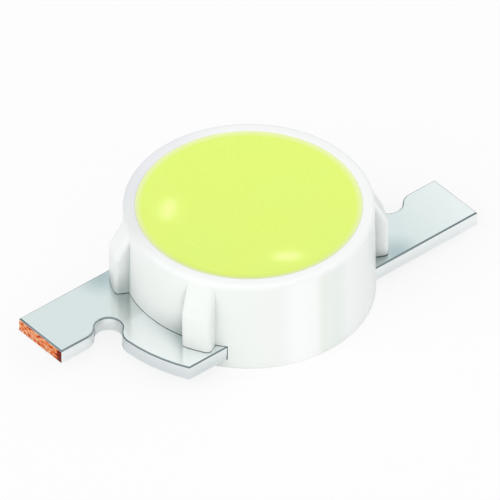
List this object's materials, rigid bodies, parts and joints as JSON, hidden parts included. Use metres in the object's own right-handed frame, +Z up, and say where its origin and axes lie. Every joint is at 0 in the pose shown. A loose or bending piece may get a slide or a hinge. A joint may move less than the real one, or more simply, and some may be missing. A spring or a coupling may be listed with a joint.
{
  "type": "round surface-mount led",
  "caption": "Round white surface-mount LED: moulded reflector cup filled with phosphor casting, on two flat plated leads with flanges and relief notches.",
  "frame": {"origin": "centre of the round base of the body, on the plane that it rests on", "axes": "+X along the leads, from the cathode side to the anode side; +Z up out of the cup; +Y across the leads"},
  "size_m": [0.0034, 0.002, 0.0008],
  "materials": {
    "white_moulding": "white reflective moulding compound, moulded gloss",
    "plated_lead": "bright silver plate on rolled copper alloy, bare copper at the sheared ends",
    "attach_epoxy": "cured silver-filled epoxy",
    "chip": "sawn sapphire with a polished top",
    "gold_wire": "drawn gold wire",
    "phosphor_silicone": "silicone filled with yellow-green phosphor powder, glossy as cast"
  },
  "bodies": {
    "root": {"reflector_housing": "white_moulding", "cathode_lead": "plated_lead", "anode_lead": "plated_lead", "die_attach": "attach_epoxy", "led_chip": "chip", "cathode_bond_wire": "gold_wire", "anode_bond_wire": "gold_wire", "phosphor_casting": "phosphor_silicone"}
  },
  "joints": []
}
